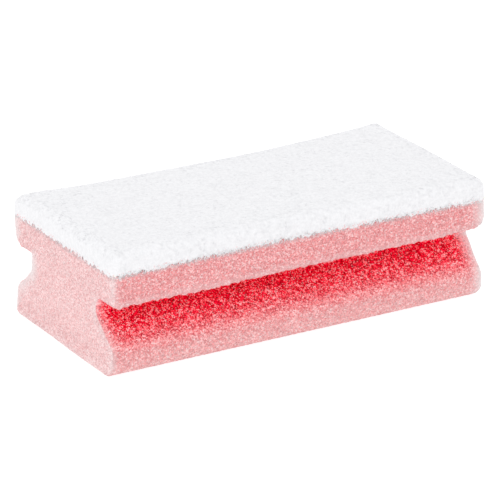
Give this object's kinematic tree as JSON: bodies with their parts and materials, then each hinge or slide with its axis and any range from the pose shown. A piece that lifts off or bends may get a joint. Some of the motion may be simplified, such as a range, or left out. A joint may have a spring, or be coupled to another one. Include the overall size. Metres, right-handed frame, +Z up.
{
  "type": "hand pad sponge",
  "caption": "Rectangular scouring sponge for the hand: an open-cell foam block with a grip groove along each long side and a non-woven fibre pad bonded over its top face.",
  "frame": {"origin": "centre of the foam block's flat resting face", "axes": "+X along the block, +Y across it, +Z up from the foam to the scouring pad"},
  "size_m": [0.15, 0.071, 0.044],
  "materials": {
    "foam": "matt open-cell polyurethane foam, pink struts with deep red pores",
    "adhesive": "thin milky hot-melt film",
    "pad_fibre": "fuzzy white non-woven polyester fibre"
  },
  "bodies": {
    "root": {"foam_block": "foam", "adhesive_layer": "adhesive", "scouring_pad": "pad_fibre"}
  },
  "joints": []
}
